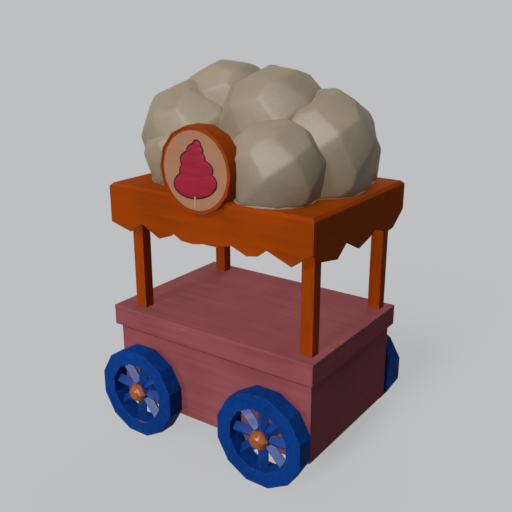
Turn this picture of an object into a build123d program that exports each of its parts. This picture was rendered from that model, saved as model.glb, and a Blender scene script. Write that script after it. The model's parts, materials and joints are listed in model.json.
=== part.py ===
from build123d import *

import os
from math import cos, pi, radians, sin, sqrt, tan

# Cotton candy cart: a painted timber cart on spoked wheels, with a canopy that carries a candy-floss cloud.
# Millimetres, +Z up. The ground is z = 0 and the origin lies under the middle of the body. Customers stand
# on the -Y side, the vendor on the +Y side, and +X runs towards the customers' right-hand end.

os.makedirs("parts", exist_ok=True)

# Counter
counter_length = 1700
counter_width = 1184
counter_height = 900
counter_board = 30
counter_edge = 150
counter_corner = 8
counter_easing = 5
apron_board = 22
bearer_width = 92
bearer_depth = 100

# Body
counter_overhang_x = 27
counter_overhang_y = 41
ground_clearance = 160
panel = 18
panel_easing = 3
stile_width = 60
head_rail_depth = 135

# Chassis
sill_width = 45
sill_depth = 55
bed_width = 80
bed_cover = 60
keeper_thickness = 6
keeper_width = 60
keeper_spacing = 800
axle_diameter = 30
axle_inset = 288
seat_clearance = 0.2

# Wheels
wheel_height = 650
wheel_gap = 51
rim_thickness = 133
rim_opening = 436
felloes = 12
felloe_joint = 0.3
spokes = 8
spoke_side = 62
spoke_joint = 0.3
spoke_setback = 32
hub_flats = 130
hub_overhang = 11
hub_setback = 30
sleeve_wall = 6
collar_diameter = 60
running_clearance = 0.05
end_play = 0.5
axle_hole_clearance = 1
nut_flange_diameter = 60
nut_flange = 4
nut_sides = 6
nut_flats = 46
nut_height = 14
axle_tip = 4
cap_sides = 6
cap_profile = ((0, 70), (12, 76), (42, 58), (60, 30))
cap_cavity_diameter = 72
cap_cavity_depth = 34
spoke_turn = {"front_left": 39, "front_right": 0, "back_left": 12, "back_right": 22}
cap_turn = {"front_left": 0, "front_right": 5, "back_left": 0, "back_right": 40}

# Sliding doors
door_thickness = 12
door_overlap = 24
door_behind_stile = 25
door_easing = 2
groove_clearance = 0.4
groove_wall = 4.8
lower_track = 20
lower_groove = 8
upper_track = 30
upper_groove = 16
door_lift = 6
door_rest = 0.3
finger_hole = 36
finger_hole_inset = 55

# Posts
post_width = 92
post_depth = 82
post_inset_x = 119
post_inset_y = 151
post_shift_x = 20
foot_tenon_width = 60
foot_tenon_depth = 54
foot_tenon_length = 60
head_tenon_width = 50
head_tenon_depth = 34
head_tenon_length = 30
tenon_clearance = 0.3
post_easing = 4

# Roof
roof_setback_x = 26
roof_overhang_y = 31
roof_height = 1830
roof_board_thickness = 28
roof_bevel = 22
roof_shift_x = 20
roof_shift_y = 15
rail_width = 60
rail_depth = 70
valance_board = 18

# Scallops as pairs: share of the board's length from its left or front end, and drop below the roof's top
front_edge = (
    (0, 280), (0.11, 325), (0.18, 255), (0.27, 330), (0.33, 295), (0.35, 275), (0.39, 310), (0.45, 315),
    (0.5, 300), (0.56, 300), (0.64, 270), (0.71, 315), (0.76, 300), (0.8, 250), (0.91, 320), (1, 215),
)
right_edge = (
    (0, 215), (0.07, 285), (0.24, 325), (0.33, 245), (0.47, 330), (0.58, 295), (0.66, 260), (0.8, 320),
    (0.88, 310), (1, 205),
)
back_corner_drop = 205

# Topper: a base board and moulded puffs, drawn for a roof of the plan's size and stretched to the roof's own.
# Each puff has the place of its middle from the roof's middle, its height over the roof, its radius, the height
# of its upper half and its turn
plan_length = 1648
plan_width = 1246
base_board = 12
base_margin = 10
base_sides = 18
base_core_length = 800
base_core_width = 400
puff_wall = 10
puff_facets = 30
puff_reach = 0.96
puff_drop = 1.8
puff_blank = 3
puff_joint_x = -100
puff_joint = 0.4
puff_clearance = 2
puff_overhang = 30
puffs = {
    "puff_crown": (150, 5, 465, 370, 310, 290),
    "puff_right": (470, 60, 300, 350, 350, 132),
    "puff_front": (375, -345, 215, 305, 280, 140),
    "puff_left": (-465, -100, 330, 360, 345, 70),
    "puff_upper_left": (-295, 85, 550, 320, 245, 308),
    "puff_lower_left": (-455, -215, 200, 285, 240, 218),
    "puff_far_right": (495, 335, 195, 235, 265, 278),
}
filler_puffs = {
    "middle": (-40, -265, 110, 280, 235, 30),
    "back_right": (170, 275, 240, 300, 330, 60),
    "back_left": (-350, 275, 230, 290, 320, 90),
    "low_right": (400, 80, 60, 310, 270, 45),
}

# Sign
sign_sides = 14
sign_radius = 282
sign_depth = 56
sign_tail = 80
sign_rest = 0.5
sign_rim = 14
sign_board_thickness = 50
sign_x = 12
sign_height = 186
bracket_width = 40
bracket_thickness = 6
bracket_spacing = 220
bracket_leg = 320
bracket_foot = 66
bracket_clearance = 2

# Derived from the sizes above
counter_x = counter_length / 2
counter_y = counter_width / 2
board_under = counter_height - counter_board
apron_under = counter_height - counter_edge
body_x = counter_x - counter_overhang_x
body_y = counter_y - counter_overhang_y
inside_x = body_x - panel
inside_y = body_y - panel
axle_height = wheel_height / 2
axle_radius = axle_diameter / 2
axle_x = body_x - axle_inset
floor_height = axle_height + axle_radius + bed_cover
floor_top = floor_height + panel
skirt_top = floor_top + lower_track
storage_head = board_under - head_rail_depth
bed_under = axle_height - axle_radius - seat_clearance
bed_length = 2 * (inside_y - sill_width)
felloe_half = pi / felloes
spoke_blank = rim_opening / 2 / cos(felloe_half)
spoke_half = pi / spokes
rim_near = body_y + wheel_gap
rim_far = rim_near + rim_thickness
hub_near = rim_near - hub_overhang
hub_far = rim_far - hub_setback
spoke_middle = rim_far - spoke_setback - spoke_side / sqrt(2)
collar_far = hub_near - end_play
sleeve_far = hub_far + end_play
sleeve_radius = axle_radius + sleeve_wall
axle_end = sleeve_far + nut_flange + nut_height + axle_tip
groove = door_thickness + 2 * groove_clearance
track_width = 3 * groove_wall + 2 * groove
track_near = inside_y - track_width
outer_groove = (inside_y - groove_wall - groove, inside_y - groove_wall)
inner_groove = (track_near + groove_wall, track_near + groove_wall + groove)
door_low = skirt_top - lower_groove + door_rest
door_high = storage_head + upper_groove - door_lift
opening_x = body_x - stile_width
door_end = opening_x + door_behind_stile
finger_x = opening_x - finger_hole_inset
roof_under = roof_height - roof_board_thickness
roof_half_x = counter_x - roof_setback_x
roof_half_y = counter_y + roof_overhang_y
roof_x = (roof_shift_x - roof_half_x, roof_shift_x + roof_half_x)
roof_y = (roof_shift_y - roof_half_y, roof_shift_y + roof_half_y)
rail_under = roof_under - rail_depth
rail_middle = roof_under - rail_depth / 2
post_x = (roof_x[0] + post_inset_x + post_shift_x, roof_x[1] - post_inset_x + post_shift_x)
post_y = (roof_y[0] + post_inset_y, roof_y[1] - post_inset_y)
post_names = (("front_left", "back_left"), ("front_right", "back_right"))
stretch_x = 2 * roof_half_x / plan_length
stretch_y = 2 * roof_half_y / plan_width
golden_angle = pi * (3 - sqrt(5))
sign_z = roof_height + sign_height
sign_back = roof_y[0]
bracket_x = (sign_x - bracket_spacing / 2, sign_x + bracket_spacing / 2)
tail_back = sign_back + sign_tail
puff_front = roof_y[0] - puff_overhang


def save(piece, node):
    """Label a finished sub-part and write it to its own file."""
    piece.part.label = node
    export_step(piece.part, f"parts/{node}.step")


def about(middle, size):
    """Give the limits of a size that lies evenly about a middle."""
    return middle - size / 2, middle + size / 2


def block(x, y, z, mode=Mode.ADD):
    """Add or cut a rectangular block between two limits along each axis."""
    with Locations((sum(x) / 2, sum(y) / 2, sum(z) / 2)):
        Box(x[1] - x[0], y[1] - y[0], z[1] - z[0], mode=mode)


def flat_polygon(across_flats, sides, turn=0, mode=Mode.ADD):
    """Draw a regular polygon of a size measured across its flats."""
    RegularPolygon(across_flats / 2, sides, major_radius=False, rotation=turn, mode=mode)


def along_axle(side, near, far):
    """Give the plane and the depth of an extrusion between two distances from the body's middle."""
    start = near if side < 0 else far
    return Plane.XZ.offset(-side * start), far - near


# Axles: through bars, the flanged sleeves that the hubs turn on, and the nuts at their ends
axle_places = [(x, axle_height) for x in (-axle_x, axle_x)]

with BuildPart() as axles:
    with BuildSketch(Plane.XZ.offset(-axle_end)):
        with Locations(*axle_places):
            Circle(axle_radius)
    extrude(amount=2 * axle_end)
save(axles, "axles")

with BuildPart() as axle_sleeves:
    for side in (-1, 1):
        collar_plane, collar_length = along_axle(side, body_y, collar_far)
        with BuildSketch(collar_plane):
            with Locations(*axle_places):
                Circle(collar_diameter / 2)
        extrude(amount=collar_length)
        sleeve_plane, sleeve_length = along_axle(side, body_y, sleeve_far)
        with BuildSketch(sleeve_plane):
            with Locations(*axle_places):
                Circle(sleeve_radius)
        extrude(amount=sleeve_length)
        with BuildSketch(sleeve_plane):
            with Locations(*axle_places):
                Circle(axle_radius + running_clearance)
        extrude(amount=sleeve_length, mode=Mode.SUBTRACT)
save(axle_sleeves, "axle_sleeves")

with BuildPart() as axle_nuts:
    for side in (-1, 1):
        flange_plane, flange_length = along_axle(side, sleeve_far, sleeve_far + nut_flange)
        with BuildSketch(flange_plane):
            with Locations(*axle_places):
                Circle(nut_flange_diameter / 2)
        extrude(amount=flange_length)
        nut_plane, nut_length = along_axle(side, sleeve_far, sleeve_far + nut_flange + nut_height)
        with BuildSketch(nut_plane):
            with Locations(*axle_places):
                flat_polygon(nut_flats, nut_sides)
        extrude(amount=nut_length)
        with BuildSketch(nut_plane):
            with Locations(*axle_places):
                Circle(axle_radius + running_clearance)
        extrude(amount=nut_length, mode=Mode.SUBTRACT)
save(axle_nuts, "axle_nuts")

# Chassis: slotted beds over the axles, plates that close the slots, and sills along the body
with BuildPart() as axle_beds:
    for x in (-axle_x, axle_x):
        block(about(x, bed_width), about(0, bed_length), (bed_under, floor_height))
        slot_width = axle_diameter + 2 * seat_clearance
        slot_top = axle_height + axle_radius + seat_clearance
        block(about(x, slot_width), about(0, bed_length), (bed_under, slot_top), mode=Mode.SUBTRACT)
save(axle_beds, "axle_beds")

with BuildPart() as axle_keepers:
    for x in (-axle_x, axle_x):
        for y in (-keeper_spacing / 2, keeper_spacing / 2):
            block(about(x, bed_width), about(y, keeper_width), (bed_under - keeper_thickness, bed_under))
save(axle_keepers, "axle_keepers")

with BuildPart() as chassis_sills:
    for y in (sill_width / 2 - inside_y, inside_y - sill_width / 2):
        block((-inside_x, inside_x), about(y, sill_width), (floor_height - sill_depth, floor_height))
save(chassis_sills, "chassis_sills")

# Body: floor, front panel, end panels, and the frame of the vendor's opening
with BuildPart() as floor_panel:
    block((-inside_x, inside_x), (-inside_y, inside_y), (floor_height, floor_top))
save(floor_panel, "floor_panel")


def axle_holes(y):
    """Cut the axles' holes through the panel whose outer face is at y."""
    with BuildSketch(Plane.XZ.offset(-y)) as holes:
        with Locations(*axle_places):
            Circle(axle_radius + axle_hole_clearance)
    extrude(holes.sketch, amount=panel, both=True, mode=Mode.SUBTRACT)


with BuildPart() as front_panel:
    block((-body_x, body_x), (-body_y, -inside_y), (ground_clearance, board_under))
    fillet(front_panel.faces().sort_by(Axis.Y)[0].edges().filter_by(Axis.Z), radius=panel_easing)
    axle_holes(-body_y)
save(front_panel, "front_panel")

for node, x in (("left_end_panel", (-body_x, -inside_x)), ("right_end_panel", (inside_x, body_x))):
    with BuildPart() as end_panel:
        block(x, (-inside_y, inside_y), (ground_clearance, board_under))
    save(end_panel, node)

with BuildPart() as back_skirt:
    block((-body_x, body_x), (inside_y, body_y), (ground_clearance, skirt_top))
    fillet(back_skirt.faces().sort_by(Axis.Y)[-1].edges().filter_by(Axis.Z), radius=panel_easing)
    axle_holes(body_y)
save(back_skirt, "back_skirt")

with BuildPart() as back_stiles:
    for x in ((-body_x, -opening_x), (opening_x, body_x)):
        block(x, (inside_y, body_y), (skirt_top, storage_head))
save(back_stiles, "back_stiles")

with BuildPart() as back_head_rail:
    block((-body_x, body_x), (inside_y, body_y), (storage_head, board_under))
    fillet(back_head_rail.faces().sort_by(Axis.Y)[-1].edges().filter_by(Axis.Z), radius=panel_easing)
save(back_head_rail, "back_head_rail")

# Sliding doors and the grooved tracks that they run in
with BuildPart() as door_tracks:
    block((-inside_x, inside_x), (track_near, inside_y), (floor_top, skirt_top))
    block((-inside_x, inside_x), (track_near, inside_y), (storage_head, storage_head + upper_track))
    for y in (outer_groove, inner_groove):
        block((-inside_x, inside_x), y, (skirt_top - lower_groove, skirt_top), mode=Mode.SUBTRACT)
        block((-inside_x, inside_x), y, (storage_head, storage_head + upper_groove), mode=Mode.SUBTRACT)
save(door_tracks, "door_tracks")

door_plan = (
    ("door_left", (-door_end, door_overlap / 2), outer_groove, -finger_x),
    ("door_right", (-door_overlap / 2, door_end), inner_groove, finger_x),
)
for node, x, y, hole_x in door_plan:
    with BuildPart() as door:
        block(x, about(sum(y) / 2, door_thickness), (door_low, door_high))
        fillet(door.edges().filter_by(Axis.Z), radius=door_easing)
        with Locations(Plane.XZ.offset(-y[1])):
            with Locations((hole_x, (skirt_top + storage_head) / 2)):
                Hole(finger_hole / 2)
    save(door, node)

# Counter: bearers across the body, the board that the posts pass through, and the aprons under its edge
foot_mortise_x = foot_tenon_width + 2 * tenon_clearance
foot_mortise_y = foot_tenon_depth + 2 * tenon_clearance
post_hole_x = post_width + 2 * tenon_clearance
post_hole_y = post_depth + 2 * tenon_clearance
mortise_bottom = board_under - foot_tenon_length - tenon_clearance

with BuildPart() as counter_bearers:
    for x in post_x:
        block(about(x, bearer_width), (-inside_y, inside_y), (board_under - bearer_depth, board_under))
        for y in post_y:
            mortise_z = (mortise_bottom, board_under)
            block(about(x, foot_mortise_x), about(y, foot_mortise_y), mortise_z, mode=Mode.SUBTRACT)
save(counter_bearers, "counter_bearers")

with BuildPart() as counter_top:
    block((-counter_x, counter_x), (-counter_y, counter_y), (board_under, counter_height))
    fillet(counter_top.edges().filter_by(Axis.Z), radius=counter_corner)
    fillet(counter_top.faces().sort_by(Axis.Z)[-1].edges(), radius=counter_easing)
    for x in post_x:
        for y in post_y:
            hole_z = (board_under, counter_height)
            block(about(x, post_hole_x), about(y, post_hole_y), hole_z, mode=Mode.SUBTRACT)
save(counter_top, "counter_top")

apron_inside_y = counter_y - apron_board
apron_plan = (("apron_front", (-counter_y, -apron_inside_y)), ("apron_back", (apron_inside_y, counter_y)))
for node, y in apron_plan:
    with BuildPart() as apron:
        block((-counter_x, counter_x), y, (apron_under, board_under))
        outer_face = apron.faces().filter_by(Axis.Y).sort_by(lambda face: abs(face.center().Y))[-1]
        fillet(outer_face.edges().filter_by(Axis.Z), radius=counter_corner)
    save(apron, node)

with BuildPart() as apron_ends:
    for x in (apron_board / 2 - counter_x, counter_x - apron_board / 2):
        block(about(x, apron_board), (-apron_inside_y, apron_inside_y), (apron_under, board_under))
save(apron_ends, "apron_ends")

# Posts, let through the counter and tenoned into the bearers below and the roof rails above
for x, names in zip(post_x, post_names):
    for y, name in zip(post_y, names):
        with BuildPart() as post:
            block(about(x, post_width), about(y, post_depth), (board_under, rail_under))
            fillet(post.edges().filter_by(Axis.Z), radius=post_easing)
            foot_z = (board_under - foot_tenon_length, board_under)
            block(about(x, foot_tenon_width), about(y, foot_tenon_depth), foot_z)
            head_z = (rail_under, rail_under + head_tenon_length)
            block(about(x, head_tenon_width), about(y, head_tenon_depth), head_z)
        save(post, f"post_{name}")

# Roof rails: long ones on the posts, cross ones halved over them
inside_roof_x = (roof_x[0] + valance_board, roof_x[1] - valance_board)
inside_roof_y = (roof_y[0] + valance_board, roof_y[1] - valance_board)
head_mortise_x = head_tenon_width + 2 * tenon_clearance
head_mortise_y = head_tenon_depth + 2 * tenon_clearance

with BuildPart() as roof_long_rails:
    for y in post_y:
        block(inside_roof_x, about(y, rail_width), (rail_under, roof_under))
        for x in post_x:
            halving_z = (rail_middle, roof_under)
            block(about(x, rail_width), about(y, rail_width), halving_z, mode=Mode.SUBTRACT)
            mortise_z = (rail_under, rail_under + head_tenon_length + tenon_clearance)
            block(about(x, head_mortise_x), about(y, head_mortise_y), mortise_z, mode=Mode.SUBTRACT)
save(roof_long_rails, "roof_long_rails")

with BuildPart() as roof_cross_rails:
    for x in post_x:
        block(about(x, rail_width), inside_roof_y, (rail_under, roof_under))
        for y in post_y:
            halving_z = (rail_under, rail_middle)
            block(about(x, rail_width), about(y, rail_width), halving_z, mode=Mode.SUBTRACT)
save(roof_cross_rails, "roof_cross_rails")

# Roof board with its bevelled upper edge
with BuildPart() as roof_board:
    block(roof_x, roof_y, (roof_under, roof_height))
    chamfer(roof_board.faces().sort_by(Axis.Z)[-1].edges(), length=roof_bevel)
save(roof_board, "roof_board")


# Valance boards
def scalloped(edge, limits):
    """Give a valance board's corners: its straight top, then its scallops back from the far end."""
    start, end = limits
    scallops = [(start + share * (end - start), roof_height - drop) for share, drop in edge]
    return [(start, roof_under), (end, roof_under)] + scallops[::-1]


back_edge = ((0, back_corner_drop), *front_edge[1:-1], (1, back_corner_drop))
left_edge = (front_edge[0], *right_edge[1:])
long_plan = (("valance_front", front_edge, inside_roof_y[0]), ("valance_back", back_edge, roof_y[1]))
end_plan = (("valance_left", left_edge, roof_x[0]), ("valance_right", right_edge, inside_roof_x[1]))
long_valances = []
for node, edge, y in long_plan:
    with BuildPart() as valance:
        with BuildSketch(Plane.XZ.offset(-y)):
            with BuildLine():
                Polyline(*scalloped(edge, roof_x), close=True)
            make_face()
        extrude(amount=valance_board)
    long_valances.append(valance)
    save(valance, node)

for node, edge, x in end_plan:
    with BuildPart() as valance:
        with BuildSketch(Plane.YZ.offset(x)):
            with BuildLine():
                Polyline(*scalloped(edge, roof_y), close=True)
            make_face()
        extrude(amount=valance_board)
        for neighbour in long_valances:
            add(neighbour.part, mode=Mode.SUBTRACT)
    save(valance, node)


# Room for the sign's drum in the topper
with BuildPart() as sign_room:
    with BuildSketch(Plane.XZ.offset(-tail_back - puff_clearance)):
        with Locations((sign_x, sign_z)):
            RegularPolygon(sign_radius + puff_clearance, sign_sides)
    extrude(amount=puff_clearance + sign_tail + sign_depth)


# Topper's base board, which follows the puffs' feet and stays clear of the sign and its brackets
def on_roof(x, y):
    """Give the place over the roof of a point in the topper's plan."""
    return roof_shift_x + x * stretch_x, roof_shift_y + y * stretch_y


def foot_corners(height, radius, rise):
    """Give the corners, about a puff's middle, of the part of the base board that it stands on."""
    share = (height - base_board) / (puff_reach * puff_drop * rise)
    foot = puff_reach * radius * sqrt(max(0, 1 - share**2)) + base_margin
    angles = [2 * pi * corner / base_sides for corner in range(base_sides)]
    return [(foot * stretch_x * cos(angle), foot * stretch_y * sin(angle)) for angle in angles]


with BuildPart() as topper_base:
    with BuildSketch(Plane.XY.offset(roof_height)):
        with Locations((roof_shift_x, roof_shift_y)):
            Rectangle(base_core_length, base_core_width)
        for x, y, height, radius, rise, turn in (*puffs.values(), *filler_puffs.values()):
            with Locations(on_roof(x, y)):
                Polygon(*foot_corners(height, radius, rise), align=None)
    extrude(amount=base_board)
    notch_y = (sign_back, sign_back + bracket_foot + bracket_clearance)
    for x in bracket_x:
        notch_x = about(x, bracket_width + 2 * bracket_clearance)
        block(notch_x, notch_y, (roof_height, roof_height + base_board), mode=Mode.SUBTRACT)
    add(sign_room.part, mode=Mode.SUBTRACT)
save(topper_base, "topper_base")


# Topper's puffs: faceted shells, each cut by the sign's room and by the ones before it
def facet_planes(centre, radius, rise, turn):
    """List the planes of a puff's facets, spread evenly over a rounded form about its centre."""
    planes = []
    for count in range(puff_facets):
        height = 1 - (2 * count + 1) / puff_facets
        span = rise if height > 0 else rise * puff_drop
        ring = sqrt(1 - height**2)
        angle = count * golden_angle + radians(turn)
        across_x, across_y = ring * cos(angle), ring * sin(angle)
        radius_x, radius_y = radius * stretch_x, radius * stretch_y
        touch = Vector(across_x * radius_x, across_y * radius_y, height * span)
        normal = Vector(across_x / radius_x, across_y / radius_y, height / span)
        planes.append(Plane(origin=centre + touch, z_dir=normal))
    return planes


def carve(centre, reach, planes):
    """Cut a block down to what lies under all the given planes."""
    with BuildPart() as carved:
        with Locations(centre):
            Box(reach, reach, reach)
        for plane in planes:
            split(bisect_by=plane, keep=Keep.BOTTOM)
    return carved


def puff_shell(place, trims, earlier):
    """Mould one puff: a faceted shell, open below, trimmed by planes and by the puffs before it."""
    x, y, height, radius, rise, turn = place
    centre = Vector(*on_roof(x, y), roof_height + height)
    reach = puff_blank * puff_drop * max(radius, rise)
    outside = facet_planes(centre, puff_reach * radius, puff_reach * rise, turn)
    outside.append(Plane((0, puff_front, 0), z_dir=(0, -1, 0)))
    inside = [plane.offset(-puff_wall) for plane in outside]
    foot_plane = Plane((0, 0, roof_height + base_board), z_dir=(0, 0, -1))
    core = carve(centre, reach, inside)
    whole = carve(centre, reach, outside + trims + [foot_plane])
    with whole:
        add(sign_room.part, mode=Mode.SUBTRACT)
    with BuildPart() as shell:
        add(whole.part)
        add(core.part, mode=Mode.SUBTRACT)
        for neighbour in earlier:
            add(neighbour.part, mode=Mode.SUBTRACT)
        add(shell.solids().sort_by(SortBy.VOLUME)[-1], mode=Mode.REPLACE)
    return whole, shell


moulded = []
for node, place in puffs.items():
    whole, shell = puff_shell(place, [], moulded)
    moulded.append(whole)
    save(shell, node)

joint_x = about(on_roof(puff_joint_x, 0)[0], puff_joint)
glue_joint = {
    "back_left": [Plane((joint_x[0], 0, 0), z_dir=(1, 0, 0))],
    "back_right": [Plane((joint_x[1], 0, 0), z_dir=(-1, 0, 0))],
}
fillers = [puff_shell(place, glue_joint.get(name, []), moulded)[1] for name, place in filler_puffs.items()]
with BuildPart() as puff_fillers:
    for filler in fillers:
        add(filler.part)
save(puff_fillers, "puff_fillers")

# Sign: a board in the front of a drum, which is notched over the roof's edge, with brackets down to the roof
with BuildPart() as sign_drum:
    with BuildSketch(Plane.XZ.offset(-tail_back)):
        with Locations((sign_x, sign_z)):
            RegularPolygon(sign_radius, sign_sides)
            RegularPolygon(sign_radius - sign_rim, sign_sides, mode=Mode.SUBTRACT)
    extrude(amount=sign_tail + sign_depth)
    block(roof_x, (sign_back, tail_back), (0, roof_height + sign_rest), mode=Mode.SUBTRACT)
save(sign_drum, "sign_rim")

with BuildPart() as sign_board:
    with BuildSketch(Plane.XZ.offset(-sign_back)):
        with Locations((sign_x, sign_z)):
            RegularPolygon(sign_radius - sign_rim, sign_sides)
    extrude(amount=sign_board_thickness)
save(sign_board, "sign_board")

with BuildPart() as sign_brackets:
    for x in bracket_x:
        leg_y = (sign_back, sign_back + bracket_thickness)
        foot_y = (sign_back, sign_back + bracket_foot)
        block(about(x, bracket_width), leg_y, (roof_height, roof_height + bracket_leg))
        block(about(x, bracket_width), foot_y, (roof_height, roof_height + bracket_thickness))
save(sign_brackets, "sign_brackets")


# Wheels: twelve felloes, eight spokes set cornerwise and mitred at the hub, the hub and a faceted cap each
def felloe_corners():
    """Give the corners of one felloe about the wheel's centre, its flat outer side downwards."""
    outer, inner = wheel_height / 2, rim_opening / 2
    outer_half = outer * tan(felloe_half) - felloe_joint / 2
    inner_half = inner * tan(felloe_half) - felloe_joint / 2
    return [(-outer_half, -outer), (outer_half, -outer), (inner_half, -inner), (-inner_half, -inner)]


def sector_corners(angle):
    """Give the corners, about the wheel's centre, of the sector that one spoke keeps to."""
    apex = spoke_joint / 2 / sin(spoke_half)
    reach = spoke_blank * tan(spoke_half)
    corners = [(0, 0), (spoke_blank, reach), (spoke_blank, -reach)]
    shifted = [(out + apex, across) for out, across in corners]
    return [(u * cos(angle) - v * sin(angle), u * sin(angle) + v * cos(angle)) for u, v in shifted]


def make_spoke(x, side, turn, angle):
    """Make one spoke between the hub's flat and the rim's opening."""
    centre = (x, axle_height)
    plane, length = along_axle(side, rim_near, rim_far)
    outwards = (cos(angle), 0, sin(angle))
    with BuildPart() as spoke:
        with BuildSketch(Plane((x, side * spoke_middle, axle_height), x_dir=(0, 1, 0), z_dir=outwards)):
            Rectangle(spoke_side, spoke_side, rotation=45)
        extrude(amount=spoke_blank)
        with BuildSketch(plane):
            with Locations(centre):
                Polygon(*sector_corners(angle), align=None)
                flat_polygon(rim_opening, felloes, 180 / felloes, Mode.INTERSECT)
                flat_polygon(hub_flats, spokes, turn, Mode.SUBTRACT)
        extrude(amount=length, mode=Mode.INTERSECT)
    return spoke


def make_wheel(name, x, side):
    """Make the four sub-parts of the wheel at x on one side of the body."""
    centre = (x, axle_height)
    rim_plane, rim_length = along_axle(side, rim_near, rim_far)
    hub_plane, hub_length = along_axle(side, hub_near, hub_far)
    hub_turn = spoke_turn[name] + 180 / spokes

    with BuildPart() as rim:
        with BuildSketch(rim_plane):
            with Locations(centre):
                with PolarLocations(0, felloes):
                    Polygon(*felloe_corners(), align=None)
        extrude(amount=rim_length)
    save(rim, f"wheel_{name}_rim")

    with BuildPart() as hub:
        with BuildSketch(hub_plane):
            with Locations(centre):
                flat_polygon(hub_flats, spokes, hub_turn)
                Circle(sleeve_radius + running_clearance, mode=Mode.SUBTRACT)
        extrude(amount=hub_length)
    save(hub, f"wheel_{name}_hub")

    angles = [radians(spoke_turn[name]) + 2 * spoke_half * count for count in range(spokes)]
    ring = [make_spoke(x, side, hub_turn, angle) for angle in angles]
    with BuildPart() as wheel_spokes:
        for spoke in ring:
            add(spoke.part)
    save(wheel_spokes, f"wheel_{name}_spokes")

    with BuildPart() as cap:
        for rise, radius in cap_profile:
            with BuildSketch(Plane.XZ.offset(-side * (hub_far + rise))):
                with Locations(centre):
                    RegularPolygon(radius, cap_sides, rotation=cap_turn[name])
        loft(ruled=True)
        cavity_plane, cavity_length = along_axle(side, hub_far, hub_far + cap_cavity_depth)
        with BuildSketch(cavity_plane):
            with Locations(centre):
                Circle(cap_cavity_diameter / 2)
        extrude(amount=cavity_length, mode=Mode.SUBTRACT)
    save(cap, f"wheel_{name}_cap")


for side, row in ((-1, "front"), (1, "back")):
    for x, hand in ((-axle_x, "left"), (axle_x, "right")):
        make_wheel(f"{row}_{hand}", x, side)
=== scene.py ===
import json
import logging
import math
from collections.abc import Callable, Iterable, Sequence
from dataclasses import dataclass, field, replace
from enum import Enum

import bmesh
import bpy
from bmesh.types import BMEdge
from bpy.types import Collection, Material, Node, NodeSocket, NodeTree, Object
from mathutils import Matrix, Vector

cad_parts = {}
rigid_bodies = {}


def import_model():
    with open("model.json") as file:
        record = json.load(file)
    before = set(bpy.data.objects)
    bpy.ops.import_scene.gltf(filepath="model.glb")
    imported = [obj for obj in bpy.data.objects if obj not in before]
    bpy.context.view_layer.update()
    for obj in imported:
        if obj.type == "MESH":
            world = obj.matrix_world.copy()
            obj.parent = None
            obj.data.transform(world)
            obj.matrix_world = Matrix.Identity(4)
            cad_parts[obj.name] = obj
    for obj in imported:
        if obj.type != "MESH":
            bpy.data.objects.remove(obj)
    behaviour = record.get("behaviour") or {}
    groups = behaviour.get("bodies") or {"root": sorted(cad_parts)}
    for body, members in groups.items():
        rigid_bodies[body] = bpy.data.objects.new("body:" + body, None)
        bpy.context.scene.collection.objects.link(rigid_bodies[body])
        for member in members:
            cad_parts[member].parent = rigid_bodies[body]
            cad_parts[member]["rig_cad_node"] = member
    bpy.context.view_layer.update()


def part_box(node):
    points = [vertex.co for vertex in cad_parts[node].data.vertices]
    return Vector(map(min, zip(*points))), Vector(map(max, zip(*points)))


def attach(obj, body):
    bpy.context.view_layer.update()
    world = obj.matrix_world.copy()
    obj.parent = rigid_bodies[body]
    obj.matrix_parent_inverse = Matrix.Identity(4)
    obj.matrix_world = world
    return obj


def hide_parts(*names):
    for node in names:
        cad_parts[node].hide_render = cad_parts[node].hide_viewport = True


Colour = tuple[float, float, float, float]
Triple = tuple[float, float, float]
Dressing = tuple[object, object, object]
EdgeTest = Callable[[BMEdge], bool]

LOG = logging.getLogger("candy_cart")
EASED = "eased_edge"
# Ranges of a mask, and of the values that most of a noise lies between.
UNIT = (0.0, 1.0)
NOISE_CORE = (0.3, 0.7)
# Points of a mesh that are nearer than this, in metres, are one: after a cut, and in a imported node.
SLIVER = 1e-6
MERGE = 2e-5
# Triangles that meet at less than this are one flat face.
FLAT = math.radians(0.3)
# The turn from one facet of a puff to the next.
GOLDEN_ANGLE = math.pi * (3 - math.sqrt(5))
# The middle of the sign's face, in metres, and the way from the cart to the lamps in front of it.
SIGN_MIDDLE: Triple = (0.012, -0.658, 2.016)
FRONT_LIGHT: Triple = (-0.02, -0.90, 0.52)


def srgb(red: int, green: int, blue: int) -> Colour:
    """Turn a colour as it is seen on a screen into the linear one that shaders take.

    Args:
        red: Red from 0 to 255.
        green: Green from 0 to 255.
        blue: Blue from 0 to 255.

    Returns:
        The linear colour with full alpha.
    """
    shares = [value / 255 for value in (red, green, blue)]
    linear = [s / 12.92 if s <= 0.04045 else ((s + 0.055) / 1.055) ** 2.4 for s in shares]
    return (*linear, 1.0)


PINK, PINK_LIGHT = srgb(131, 68, 72), srgb(151, 82, 86)
ORANGE, ORANGE_LIGHT = srgb(134, 52, 0), srgb(156, 64, 2)
BLUE, BLUE_LIGHT = srgb(6, 45, 108), srgb(11, 63, 141)
PRIMER, RAW_WOOD = srgb(160, 112, 104), srgb(112, 74, 44)


class Run(Enum):
    """The way that brush strokes and grain run, as shrink factors along X, Y and Z."""

    ALONG_X = (0.06, 1.0, 1.0)
    ALONG_Y = (1.0, 0.06, 1.0)
    ALONG_Z = (1.0, 1.0, 0.06)
    EVEN = (1.0, 1.0, 1.0)


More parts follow.
